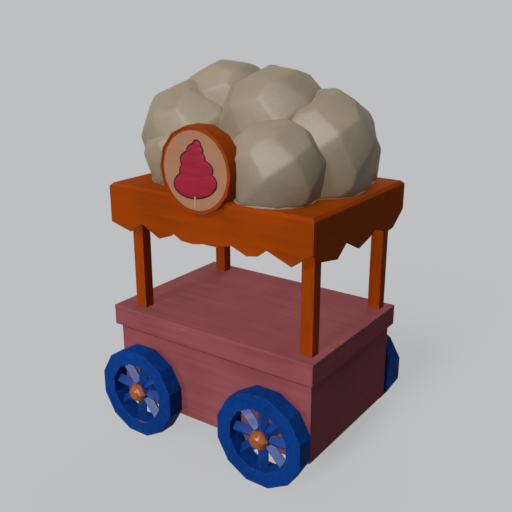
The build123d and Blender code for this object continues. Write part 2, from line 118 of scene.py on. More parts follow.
class Sheet:
    """A shader node tree, with short calls that add and join its nodes."""

    def __init__(self, tree: NodeTree) -> None:
        """Keep the tree that the nodes go into."""
        self.tree = tree

    def node(self, kind: str, **settings: object) -> Node:
        """Add a node.

        Args:
            kind: The shader node's type, without its ShaderNode prefix.
            **settings: Properties of the node.

        Returns:
            The new node.
        """
        made = self.tree.nodes.new("ShaderNode" + kind)
        for key, value in settings.items():
            setattr(made, key, value)
        return made

    def feed(self, socket: NodeSocket, value: object) -> None:
        """Set an input, or link it where the value is another node's output.

        Args:
            socket: The input.
            value: A plain value or an output.
        """
        if isinstance(value, NodeSocket):
            self.tree.links.new(value, socket)
        else:
            socket.default_value = value

    def feed_all(self, sockets: Iterable[NodeSocket], values: Iterable[object]) -> None:
        """Feed inputs in their order, as far as the values go."""
        for socket, value in zip(sockets, values):
            self.feed(socket, value)

    def named(self, node: Node, values: dict[str, object]) -> Node:
        """Feed a node's inputs by their names.

        Args:
            node: The node.
            values: What each input gets.

        Returns:
            The node.
        """
        for name, value in values.items():
            self.feed(node.inputs[name], value)
        return node

    def math(self, operation: str, first: object, second: object) -> NodeSocket:
        """Add a Math node that keeps within 0 and 1.

        Args:
            operation: What it does.
            first: Its first value.
            second: Its second value.

        Returns:
            The node's output.
        """
        made = self.node("Math", operation=operation, use_clamp=True)
        self.feed_all(made.inputs, (first, second))
        return made.outputs[0]

    def blend(self, first: object, second: object, share: float) -> NodeSocket:
        """Add two values up, the first by its share and the second by the rest."""
        part = self.math("MULTIPLY", first, share)
        return self.math("ADD", part, self.math("MULTIPLY", second, 1 - share))

    def span(self, value: object, limits: Sequence[object], result: Sequence[object] = UNIT) -> NodeSocket:
        """Add a Map Range node.

        Args:
            value: What is mapped.
            limits: Its two limits.
            result: What the limits become.

        Returns:
            The node's output.
        """
        made = self.node("MapRange", interpolation_type="SMOOTHSTEP")
        self.feed_all(made.inputs, (value, *limits, *result))
        return made.outputs[0]

    def noise(self, vector: object, scale: object, detail: float = 4.0, rough: float = 0.55,
              distortion: float = 0.0) -> NodeSocket:
        """Add a Noise Texture node.

        Args:
            vector: The coordinates that it reads.
            scale: How many features it has in a metre.
            detail: How many octaves it adds up.
            rough: How strong the finer octaves are.
            distortion: How far it is warped.

        Returns:
            The node's value output.
        """
        made = self.named(self.node("TexNoise"), {
            "Vector": vector, "Scale": scale, "Detail": detail, "Roughness": rough, "Distortion": distortion})
        return made.outputs["Fac"]

    def mix(self, factor: object, first: object, second: object) -> NodeSocket:
        """Add a node that mixes two colours.

        Args:
            factor: The second colour's share.
            first: The first colour.
            second: The second colour.

        Returns:
            The node's colour output.
        """
        made = self.node("Mix", data_type="RGBA")
        # The node's sockets share their names with those for other kinds of value, so they go by place.
        self.feed_all((made.inputs[0], made.inputs[6], made.inputs[7]), (factor, first, second))
        return made.outputs[2]

    def vector(self, operation: str, *values: object) -> Node:
        """Add a Vector Math node.

        Args:
            operation: What it does.
            *values: Its vectors, in order.

        Returns:
            The node.
        """
        made = self.node("VectorMath", operation=operation)
        self.feed_all(made.inputs, values)
        return made

    def here(self) -> NodeSocket:
        """Give the object's coordinates."""
        return self.node("TexCoord").outputs["Object"]

    def stretched(self, stretch: object) -> NodeSocket:
        """Give the object's coordinates times a stretch along each axis."""
        return self.vector("MULTIPLY", self.here(), stretch).outputs[0]

    def upright(self, vector: object) -> NodeSocket:
        """Give a vector's part along Z."""
        return self.named(self.node("SeparateXYZ"), {"Vector": vector}).outputs["Z"]

    def place(self, effect: NodeTree, **values: object) -> Node:
        """Place a shared effect's group and set its inputs.

        Args:
            effect: The node group.
            **values: The group's inputs by their names, in lower case.

        Returns:
            The group's node.
        """
        made = self.node("Group", node_tree=effect)
        return self.named(made, {name.capitalize(): value for name, value in values.items()})


class Effects:
    """The effects that several finishes share, each a node group that is built once."""

    def __init__(self) -> None:
        """Build all the groups."""
        self.strokes = self.brush_strokes()
        self.wear = self.edge_wear()
        self.mottle = self.uneven_tone()
        self.dust = self.settled_dust()
        self.fibre = self.spun_fibre()
        self.painted_shade = self.painted_lip_shade()
        self.finishes: dict[str, Material] = {}

    @staticmethod
    def start(name: str, inputs: dict[str, str],
              outputs: Iterable[str]) -> tuple[Sheet, dict[str, NodeSocket], Node]:
        """Start a node group.

        Args:
            name: The group's name.
            inputs: Its inputs, each with its kind of socket.
            outputs: Its outputs, which are all values.

        Returns:
            The group's sheet, its input sockets by name, and the node that takes its outputs.
        """
        tree = bpy.data.node_groups.new(name, "ShaderNodeTree")
        for label, kind in inputs.items():
            tree.interface.new_socket(label, in_out="INPUT", socket_type="NodeSocket" + kind)
        for label in outputs:
            tree.interface.new_socket(label, in_out="OUTPUT", socket_type="NodeSocketFloat")
        entry = tree.nodes.new("NodeGroupInput")
        given = {label: entry.outputs[label] for label in inputs}
        return Sheet(tree), given, tree.nodes.new("NodeGroupOutput")

    def brush_strokes(self) -> NodeTree:
        """Build streaks that run along a board, as brushed paint over grain shows them.

        Returns:
            The node group.
        """
        inputs = {"Stretch": "Vector", "Scale": "Float"}
        sheet, given, out = self.start("brush_strokes", inputs, ("Tone", "Height"))
        along = sheet.stretched(given["Stretch"])
        broad = sheet.noise(along, given["Scale"], detail=3.0, rough=0.5, distortion=0.4)
        closer = (4.0, 4.0, 4.0)
        finer = sheet.vector("MULTIPLY", along, closer).outputs[0]
        fine = sheet.noise(finer, given["Scale"], detail=5.0, rough=0.6, distortion=0.2)
        height = sheet.blend(broad, fine, share=0.5)
        sheet.named(out, {"Tone": sheet.span(broad, NOISE_CORE), "Height": height})
        return sheet.tree

    def edge_wear(self) -> NodeTree:
        """Build the mask of the eased edges where paint has rubbed through in patches.

        Returns:
            The node group.
        """
        sheet, given, out = self.start("edge_wear", {"Amount": "Float", "Scale": "Float"}, ("Mask",))
        lowest, spread, fade = 0.25, 0.5, 0.12
        edge = sheet.node("Attribute", attribute_name=EASED).outputs["Fac"]
        patches = sheet.noise(sheet.here(), given["Scale"], detail=5.0, rough=0.65)
        kept = sheet.math("SUBTRACT", 1.0, given["Amount"])
        start = sheet.math("ADD", sheet.math("MULTIPLY", kept, spread), lowest)
        rubbed = sheet.span(patches, (start, sheet.math("ADD", start, fade)))
        sheet.named(out, {"Mask": sheet.math("MULTIPLY", edge, rubbed)})
        return sheet.tree

    def uneven_tone(self) -> NodeTree:
        """Build a slow drift of tone over a surface, with smaller blotches in it.

        Returns:
            The node group.
        """
        sheet, given, out = self.start("uneven_tone", {"Scale": "Float"}, ("Tone",))
        drift = sheet.noise(sheet.here(), given["Scale"], detail=4.0, rough=0.5)
        sheet.named(out, {"Tone": sheet.span(drift, NOISE_CORE)})
        return sheet.tree

    def settled_dust(self) -> NodeTree:
        """Build the mask of dust that lies on what faces upwards.

        Returns:
            The node group.
        """
        sheet, given, out = self.start("settled_dust", {"Amount": "Float", "Scale": "Float"}, ("Mask",))
        slopes, film_range, cover = (0.55, 0.95), (0.35, 0.75), (0.2, 1.0)
        upward = sheet.span(sheet.upright(sheet.node("NewGeometry").outputs["Normal"]), slopes)
        film = sheet.noise(sheet.here(), given["Scale"], detail=6.0, rough=0.65)
        lying = sheet.math("MULTIPLY", upward, sheet.span(film, film_range, cover))
        sheet.named(out, {"Mask": sheet.math("MULTIPLY", lying, given["Amount"])})
        return sheet.tree

    def painted_lip_shade(self) -> NodeTree:
        """Build the mask of a broken dark line of painted shade under a lip.

        Returns:
            The node group.
        """
        inputs = {"Lip": "Float", "Depth": "Float", "Amount": "Float"}
        sheet, given, out = self.start("painted_lip_shade", inputs, ("Mask",))
        drawn, gap_range, cover = (0.35, 1.0, 1.0), (0.38, 0.6), (0.35, 1.0)
        # The mask darkens a strip just under the lip: painted shade.
        under = sheet.math("SUBTRACT", given["Lip"], sheet.upright(sheet.here()))
        line = sheet.span(under, (0.0, given["Depth"]), (1.0, 0.0))
        gaps = sheet.noise(sheet.stretched(drawn), scale=7.0)
        broken = sheet.math("MULTIPLY", line, sheet.span(gaps, gap_range, cover))
        sheet.named(out, {"Mask": sheet.math("MULTIPLY", broken, given["Amount"])})
        return sheet.tree

    def spun_fibre(self) -> NodeTree:
        """Build wisps that wander over a surface, as in spun sugar.

        Returns:
            The node group.
        """
        sheet, given, out = self.start("spun_fibre", {"Scale": "Float"}, ("Tone", "Height"))
        drift_scale, warp, drawn = 3.0, (0.5, 0.5, 0.5), (1.0, 0.35, 1.6)
        place = sheet.here()
        drift = sheet.named(sheet.node("TexNoise"), {"Vector": place, "Scale": drift_scale})
        warped = sheet.vector("MULTIPLY_ADD", drift.outputs["Color"], warp, place).outputs[0]
        along = sheet.vector("MULTIPLY", warped, drawn).outputs[0]
        wisps = sheet.noise(along, given["Scale"], detail=7.0, rough=0.7, distortion=0.8)
        sheet.named(out, {"Tone": sheet.span(wisps, NOISE_CORE), "Height": wisps})
        return sheet.tree


@dataclass(frozen=True)
class Finish:
    """What every finish shares: a name, a roughness and how far it strays, a shine and a depth of relief."""

    name: str
    roughness: float = 0.6
    shine: float = 0.2
    relief: float = 0.0006
    smoother: float = 0.0
    rougher: float = 0.1

    def dress(self, sheet: Sheet, effects: Effects) -> Dressing:
        """Give the colour, roughness and height of the surface, as sockets or plain values."""
        raise NotImplementedError

    def uneven(self, sheet: Sheet, tone: NodeSocket) -> NodeSocket:
        """Give a roughness that rises with the tone."""
        return sheet.span(tone, UNIT, (self.roughness - self.smoother, self.roughness + self.rougher))

    def material(self, effects: Effects) -> Material:
        """Make the material, or give the one that was made before.

        Args:
            effects: The shared node groups.

        Returns:
            The material.
        """
        if self.name in effects.finishes:
            return effects.finishes[self.name]
        made = effects.finishes[self.name] = bpy.data.materials.new(self.name)
        made.use_nodes = True
        sheet = Sheet(made.node_tree)
        colour, roughness, height = self.dress(sheet, effects)
        bump = sheet.named(sheet.node("Bump"), {"Height": height, "Distance": self.relief})
        sheet.named(made.node_tree.nodes["Principled BSDF"], {
            "Base Color": colour, "Roughness": roughness, "Specular IOR Level": self.shine,
            "Normal": bump.outputs["Normal"]})
        return made


@dataclass(frozen=True, kw_only=True)
class TwoTone(Finish):
    """A finish of two tones, which lie along a pattern and drift slowly over the surface."""

    colour: Colour
    light: Colour
    run: Run = Run.EVEN
    scale: float
    share: float
    drift: float

    def pattern(self, sheet: Sheet, effects: Effects) -> Node:
        """Place the pattern: strokes or grain along the run."""
        return sheet.place(effects.strokes, stretch=self.run.value, scale=self.scale)

    def coat(self, sheet: Sheet, tone: NodeSocket) -> NodeSocket:
        """Mix the two tones."""
        return sheet.mix(tone, self.colour, self.light)

    def dress(self, sheet: Sheet, effects: Effects) -> Dressing:
        """Lay the two tones on.

        Args:
            sheet: The material's nodes.
            effects: The shared node groups.

        Returns:
            The colour, the roughness and the height.
        """
        pattern = self.pattern(sheet, effects)
        drift = sheet.place(effects.mottle, scale=self.drift)
        tone = sheet.blend(pattern.outputs["Tone"], drift.outputs["Tone"], self.share)
        return self.coat(sheet, tone), self.uneven(sheet, tone), pattern.outputs["Height"]


@dataclass(frozen=True, kw_only=True)
class Paint(TwoTone):
    """Brushed paint on timber, rubbed through at the edges, with dust on top and painted shade under a lip.
    """

    smoother: float = 0.06
    rougher: float = 0.08
    scale: float = 22.0
    share: float = 0.45
    drift: float = 2.2
    under: Colour = PRIMER
    wear: float = 0.0
    wear_scale: float = 14.0
    worn_rougher: float = 0.2
    dust: float = 0.0
    dust_scale: float = 9.0
    dust_tone: Colour = srgb(170, 160, 148)
    # Painted shade under a lip: how dark it is, how far down it reaches, its colour, and the lip's height.
    painted_shade: float = 0.0
    painted_shade_depth: float = 0.014
    painted_shade_tone: Colour = srgb(52, 26, 28)
    lip: float = 0.0

    def dress(self, sheet: Sheet, effects: Effects) -> Dressing:
        """Lay the coat on along its strokes, then the wear, the dust and the painted shade under the lip.

        Args:
            sheet: The material's nodes.
            effects: The shared node groups.

        Returns:
            The colour, the roughness and the height.
        """
        coat, rough, height = super().dress(sheet, effects)
        worn = sheet.place(effects.wear, amount=self.wear, scale=self.wear_scale).outputs["Mask"]
        rubbed = sheet.mix(worn, coat, self.under)
        dust = sheet.place(effects.dust, amount=self.dust, scale=self.dust_scale)
        colour = sheet.mix(dust.outputs["Mask"], rubbed, self.dust_tone)
        # The broken dark line under the lip is painted shade.
        if self.painted_shade:
            painted_shade = sheet.place(effects.painted_shade, lip=self.lip, depth=self.painted_shade_depth, amount=self.painted_shade)
            colour = sheet.mix(painted_shade.outputs["Mask"], colour, self.painted_shade_tone)
        bare = sheet.math("MULTIPLY", worn, self.worn_rougher)
        return colour, sheet.math("ADD", rough, bare), height


@dataclass(frozen=True, kw_only=True)
class BandedPaint(Paint):
    """Brushed paint on a round face that looks along Y, with a band of another colour round it."""

    band: Colour
    band_light: Colour
    middle: Triple
    radius: float
    border: float = 0.0015

    def coat(self, sheet: Sheet, tone: NodeSocket) -> NodeSocket:
        """Mix the two tones of the face and of the band.

        Args:
            sheet: The material's nodes.
            tone: Where the lighter tone lies.

        Returns:
            The colour.
        """
        across = (self.middle[0], 0.0, self.middle[2])
        away = sheet.vector("DISTANCE", sheet.stretched((1.0, 0.0, 1.0)), across).outputs["Value"]
        beyond = sheet.span(away, (self.radius - self.border, self.radius + self.border))
        return sheet.mix(beyond, super().coat(sheet, tone), sheet.mix(tone, self.band, self.band_light))


@dataclass(frozen=True, kw_only=True)
class BareTimber(TwoTone):
    """Planed timber with no finish on it: late and early wood along the grain."""

    rougher: float = 0.15
    colour: Colour = srgb(104, 72, 44)
    light: Colour = srgb(160, 122, 82)
    scale: float = 38.0
    share: float = 0.7
    drift: float = 3.5


@dataclass(frozen=True)
class Steel(Finish):
    """Bare turned or rolled steel with a grey bloom."""

    rougher: float = 0.2
    clean: Colour = srgb(150, 150, 152)
    dull: Colour = srgb(92, 88, 84)
    bloom: float = 26.0
    marks: float = 120.0

    def dress(self, sheet: Sheet, effects: Effects) -> Dressing:
        """Mix clean and dull steel in blotches.

        Args:
            sheet: The material's nodes.
            effects: The shared node groups.

        Returns:
            The colour, the roughness and the height.
        """
        bloom = sheet.place(effects.mottle, scale=self.bloom).outputs["Tone"]
        marks = sheet.place(effects.strokes, stretch=Run.EVEN.value, scale=self.marks)
        sheet.feed(sheet.tree.nodes["Principled BSDF"].inputs["Metallic"], 1.0)
        colour = sheet.mix(bloom, self.clean, self.dull)
        return colour, self.uneven(sheet, bloom), marks.outputs["Height"]


@dataclass(frozen=True, kw_only=True)
class SpunSugar(TwoTone):
    """The moulded floss: a soft sheen, wandering wisps and a slightly uneven tone."""

    colour: Colour = srgb(135, 121, 99)
    light: Colour = srgb(151, 137, 115)
    scale: float = 16.0
    share: float = 0.4
    drift: float = 3.0

    def pattern(self, sheet: Sheet, effects: Effects) -> Node:
        """Place the wisps."""
        return sheet.place(effects.fibre, scale=self.scale)


def pink_paint(run: Run) -> Paint:
    """Give the body's dusty pink, brushed along a board."""
    return Paint(f"pink_paint_{run.name.lower()}", roughness=0.72, shine=0.04, relief=0.0009,
                 colour=PINK, light=PINK_LIGHT, run=run, wear=0.34, dust=0.02)


def orange_paint(run: Run) -> Paint:
    """Give the canopy's burnt orange, brushed along a board."""
    return Paint(f"orange_paint_{run.name.lower()}", roughness=0.68, shine=0.04, relief=0.0009,
                 colour=ORANGE, light=ORANGE_LIGHT, run=run, under=RAW_WOOD, wear=0.34)


def timber(run: Run) -> BareTimber:
    """Give bare timber with its grain along a board."""
    return BareTimber(f"bare_timber_{run.name.lower()}", roughness=0.7, shine=0.2, run=run)


BLUE_PAINT = Paint("wheel_blue_paint", roughness=0.6, shine=0.04, relief=0.0009, colour=BLUE,
                   light=BLUE_LIGHT, scale=30.0, under=RAW_WOOD, wear=0.36)
SPOKE_PAINT = replace(BLUE_PAINT, name="spoke_blue_paint", roughness=0.4, shine=0.25)
CAP_PAINT = Paint("cap_paint", roughness=0.34, shine=0.55, colour=srgb(142, 65, 0), light=srgb(155, 76, 3),
                  scale=40.0, under=RAW_WOOD, wear=0.2)
SIGN_PAINT = BandedPaint("sign_face_paint", roughness=0.66, shine=0.12, colour=srgb(158, 115, 89),
                         light=srgb(169, 123, 96), run=Run.ALONG_X, band=ORANGE, band_light=ORANGE_LIGHT,
                         middle=SIGN_MIDDLE, radius=0.250)
FLOSS_PAINT = Paint("sign_floss_paint", roughness=0.55, shine=0.15, colour=srgb(140, 24, 44),
                    light=srgb(156, 36, 56), run=Run.ALONG_X, scale=34.0)
LINE_PAINT = Paint("sign_line_paint", roughness=0.6, shine=0.12, colour=srgb(58, 16, 20),
                   light=srgb(70, 22, 26))
STICK_PAINT = Paint("sign_stick_paint", roughness=0.6, shine=0.12, colour=srgb(172, 150, 122),
                    light=srgb(184, 164, 136), run=Run.ALONG_Z)
STEEL = Steel("dull_steel", roughness=0.4, shine=0.5, relief=0.0001)
FLOSS = SpunSugar("spun_sugar", roughness=0.5, shine=0.5, relief=0.0025)


class Bench:
    """Hand steps on one mesh object, done with Blender's own operators."""

    def __init__(self, obj: Object) -> None:
        """Keep the object that is worked on."""
        self.obj = obj

    @staticmethod
    def clear() -> None:
        """Leave edit mode and deselect every object."""
        if bpy.context.object and bpy.context.object.mode != "OBJECT":
            bpy.ops.object.mode_set(mode="OBJECT")
        bpy.ops.object.select_all(action="DESELECT")

    @classmethod
    def copy_of(cls, node: str, name: str) -> "Bench":
        """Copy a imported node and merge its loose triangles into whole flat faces.

        Args:
            node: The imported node.
            name: The new piece's name.

        Returns:
            The bench with the copy on it.
        """
        cls(bpy.data.objects[node]).take()
        bpy.ops.object.duplicate()
        bench = cls(bpy.context.object)
        bench.rename(name)
        del bench.obj["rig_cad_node"]
        bpy.ops.object.parent_clear(type="CLEAR_KEEP_TRANSFORM")
        bench.edit()
        bpy.ops.mesh.customdata_custom_splitnormals_clear()
        bpy.ops.mesh.remove_doubles(threshold=MERGE)
        bpy.ops.mesh.dissolve_limited(angle_limit=FLAT)
        bench.done()
        return bench

    @classmethod
    def new(cls, name: str, add: Callable[[], object]) -> "Bench":
        """Start a new piece from a primitive.

        Args:
            name: The piece's name.
            add: The call that adds the primitive at its size and place.

        Returns:
            The bench with the primitive on it, its place in its mesh.
        """
        cls.clear()
        add()
        bench = cls(bpy.context.object)
        bench.rename(name)
        bpy.ops.object.transform_apply(location=True, rotation=True, scale=True)
        return bench

    def rename(self, name: str) -> None:
        """Name the object and its mesh."""
        self.obj.name = self.obj.data.name = name

    def take(self) -> None:
        """Select this object alone."""
        self.clear()
        self.obj.select_set(True)
        bpy.context.view_layer.objects.active = self.obj

    def edit(self) -> None:
        """Enter edit mode with the whole mesh selected."""
        self.take()
        bpy.ops.object.mode_set(mode="EDIT")
        bpy.ops.mesh.select_mode(type="EDGE")
        bpy.ops.mesh.select_all(action="SELECT")

    def done(self) -> None:
        """Leave edit mode."""
        bpy.ops.object.mode_set(mode="OBJECT")

    def pick_edges(self, wanted: EdgeTest) -> None:
        """Select the edges that pass a test, in edit mode.

        Args:
            wanted: The test.
        """
        mesh = bmesh.from_edit_mesh(self.obj.data)
        bpy.ops.mesh.select_all(action="DESELECT")
        for edge in mesh.edges:
            edge.select_set(wanted(edge))
        bmesh.update_edit_mesh(self.obj.data)

    def ease(self, width: float, segments: int = 2, sharp: float = 35.0,
             wanted: EdgeTest = lambda edge: True) -> "Bench":
        """Round the sharp edges and mark the new faces for wear.

        Args:
            width: How far the rounding reaches from the edge.
            segments: Faces across the rounding.
            sharp: The least angle in degrees between an edge's faces.
            wanted: A further test of each edge.

        Returns:
            This bench.
        """
        limit = math.radians(sharp)
        mesh = self.obj.data
        mesh.materials.clear()
        for _ in ("kept", "rounded"):
            mesh.materials.append(None)
        self.edit()
        self.pick_edges(lambda e: len(e.link_faces) == 2 and e.calc_face_angle() > limit and wanted(e))
        # The rounding's faces take the second of the two empty slots, which tells them from the rest.
        bpy.ops.mesh.bevel(offset=width, segments=segments, profile=0.5, affect="EDGES",
                           clamp_overlap=False, material=1)
        bpy.ops.mesh.select_all(action="SELECT")
        bpy.ops.mesh.dissolve_degenerate(threshold=SLIVER)
        self.done()
        rounded = [float(face.material_index) for face in mesh.polygons]
        mark = mesh.attributes.get(EASED) or mesh.attributes.new(EASED, "FLOAT", "FACE")
        mark.data.foreach_set("value", rounded)
        mesh.polygons.foreach_set("material_index", [0] * len(mesh.polygons))
        mesh.materials.clear()
        return self

    def apply(self, kind: str, **settings: object) -> "Bench":
        """Add a modifier and apply it.

        Args:
            kind: The modifier's type.
            **settings: Its properties.

        Returns:
            This bench.
        """
        self.take()
        made = self.obj.modifiers.new(kind.lower(), kind)
        for key, value in settings.items():
            setattr(made, key, value)
        bpy.ops.object.modifier_apply(modifier=made.name)
        return self

    def smooth(self, angle: float) -> None:
        """Shade smooth where faces meet at less than an angle in degrees."""
        self.take()
        bpy.ops.object.shade_smooth_by_angle(angle=math.radians(angle))

    def shade(self, angle: float = 50.0) -> "Bench":
        """Shade smooth up to an angle in degrees, with broad faces kept flat, and give this bench."""
        self.smooth(angle)
        return self.apply("WEIGHTED_NORMAL", keep_sharp=True)

    def bisect(self, point: Vector, normal: Vector) -> None:
        """Cut away what lies in front of a plane and close the cut, in edit mode.

        Args:
            point: A point of the plane.
            normal: The way that the plane faces.
        """
        bpy.ops.mesh.select_all(action="SELECT")
        bpy.ops.mesh.bisect(plane_co=point, plane_no=normal.normalized(), use_fill=True, clear_outer=True,
                            threshold=SLIVER)


@dataclass
class Assembly:
    """A part of the cart: it dresses its nodes and hands each piece over to a body."""

    effects: Effects
    body: str = "cart"
    made: list[str] = field(default_factory=list)

    def build(self) -> None:
        """Build and dress this part's pieces."""
        raise NotImplementedError

    def coat(self, obj: Object, finish: Finish) -> None:
        """Give a piece its finish and note its name.

        Args:
            obj: The piece.
            finish: Its finish.
        """
        obj.data.materials.clear()
        obj.data.materials.append(finish.material(self.effects))
        self.made.append(obj.name)

    def hand_over(self, bench: Bench, finish: Finish, replaces: Sequence[str] = (),
                  slot: str | None = None) -> None:
        """Finish a piece: its material, its body and the nodes that it stands for.

        Args:
            bench: The bench with the piece.
            finish: Its finish.
            replaces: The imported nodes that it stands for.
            slot: The record's material slot, if it has one; not used.
        """
        obj = bench.obj
        self.coat(obj, finish)
        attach(obj, self.body)
        if replaces:
            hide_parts(*replaces)

    def keep(self, node: str, finish: Finish) -> None:
        """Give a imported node, shown as it is, its finish."""
        self.coat(bpy.data.objects[node], finish)

    def eased(self, node: str, finish: Finish, slot: str, width: float, segments: int = 2,
              wanted: EdgeTest = lambda edge: True) -> None:
        """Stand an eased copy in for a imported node.

        Args:
            node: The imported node.
            finish: The copy's finish.
            slot: The record's material slot.
            width: How far the easing reaches from each edge.
            segments: Faces across the easing.
            wanted: The test of the edges that are eased.
        """
        bench = Bench.copy_of(node, f"eased_{node}").ease(width, segments, wanted=wanted).shade()
        self.hand_over(bench, finish, (node,), slot)


@dataclass
class Chassis(Assembly):
    """Axles with their sleeves, nuts and beds, and the timbers under the floor."""

    def build(self) -> None:
        """Dress the steel and the bare timber."""
        for node in ("axles", "axle_sleeves", "axle_nuts", "axle_keepers"):
            self.keep(node, STEEL)
        self.keep("axle_beds", timber(Run.ALONG_Y))
        self.keep("chassis_sills", timber(Run.ALONG_X))
        self.keep("floor_panel", timber(Run.ALONG_X))


@dataclass
class Body(Assembly):
    """The boxed body's panels and the frame of the vendor's opening."""

    easing: float = 0.002
    # How dark the painted shade line under the counter is, and how far under the apron it starts.
    painted_shade: float = 0.55
    painted_shade_drop: float = 0.024

    def build(self) -> None:
        """Ease and paint each panel along its length, with a broken line of painted shade a little under the
        counter.
        """
        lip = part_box("apron_front")[0].z - self.painted_shade_drop
        shade_painted = replace(pink_paint(Run.ALONG_X), name="front_panel_paint", painted_shade=self.painted_shade, lip=lip)
        self.eased("front_panel", shade_painted, "pink_paint", self.easing)
        for node in ("back_skirt", "back_head_rail"):
            self.eased(node, pink_paint(Run.ALONG_X), "pink_paint", self.easing)
        for node in ("left_end_panel", "right_end_panel"):
            self.eased(node, pink_paint(Run.ALONG_Y), "pink_paint", self.easing)
        self.eased("back_stiles", pink_paint(Run.ALONG_Z), "pink_paint", self.easing)
        self.keep("door_tracks", timber(Run.ALONG_X))


@dataclass
class Door(Assembly):
    """One sliding door with its finger hole."""

    easing: float = 0.0015

    def build(self) -> None:
        """Ease and paint the door."""
        self.eased(self.body, pink_paint(Run.ALONG_X), "pink_paint", self.easing)


@dataclass
class Counter(Assembly):
    """The counter's board, aprons and bearers."""

    easing: float = 0.003

    def build(self) -> None:
        """Ease and paint the board and its aprons."""
        for node in ("counter_top", "apron_front", "apron_back"):
            self.eased(node, pink_paint(Run.ALONG_X), "pink_paint", self.easing)
        self.eased("apron_ends", pink_paint(Run.ALONG_Y), "pink_paint", self.easing)
        self.keep("counter_bearers", timber(Run.ALONG_Y))


@dataclass
class Canopy(Assembly):
    """Four posts, the rails over them, the roof board and its valances."""

    easing: float = 0.003
    roof_easing: float = 0.005

    def build(self) -> None:
        """Ease and paint the posts, the roof and its valances."""
        for place in ("front_left", "front_right", "back_left", "back_right"):
            self.eased(f"post_{place}", orange_paint(Run.ALONG_Z), "orange_paint", self.easing)
        self.keep("roof_long_rails", orange_paint(Run.ALONG_X))
        self.keep("roof_cross_rails", orange_paint(Run.ALONG_Y))
        self.eased("roof_board", orange_paint(Run.ALONG_X), "orange_paint", self.roof_easing)
        for sides, run in ((("front", "back"), Run.ALONG_X), (("left", "right"), Run.ALONG_Y)):
            for side in sides:
                self.eased(f"valance_{side}", orange_paint(run), "orange_paint", self.easing)


@dataclass(frozen=True)
class Puff:
    """One puff of the topper: its middle from the roof's, its sizes and its turn, in metres and degrees."""

    name: str
    x: float
    y: float
    height: float
    radius: float
    rise: float
    turn: float
    node: str = "puff_fillers"
    beside_sign: bool = False


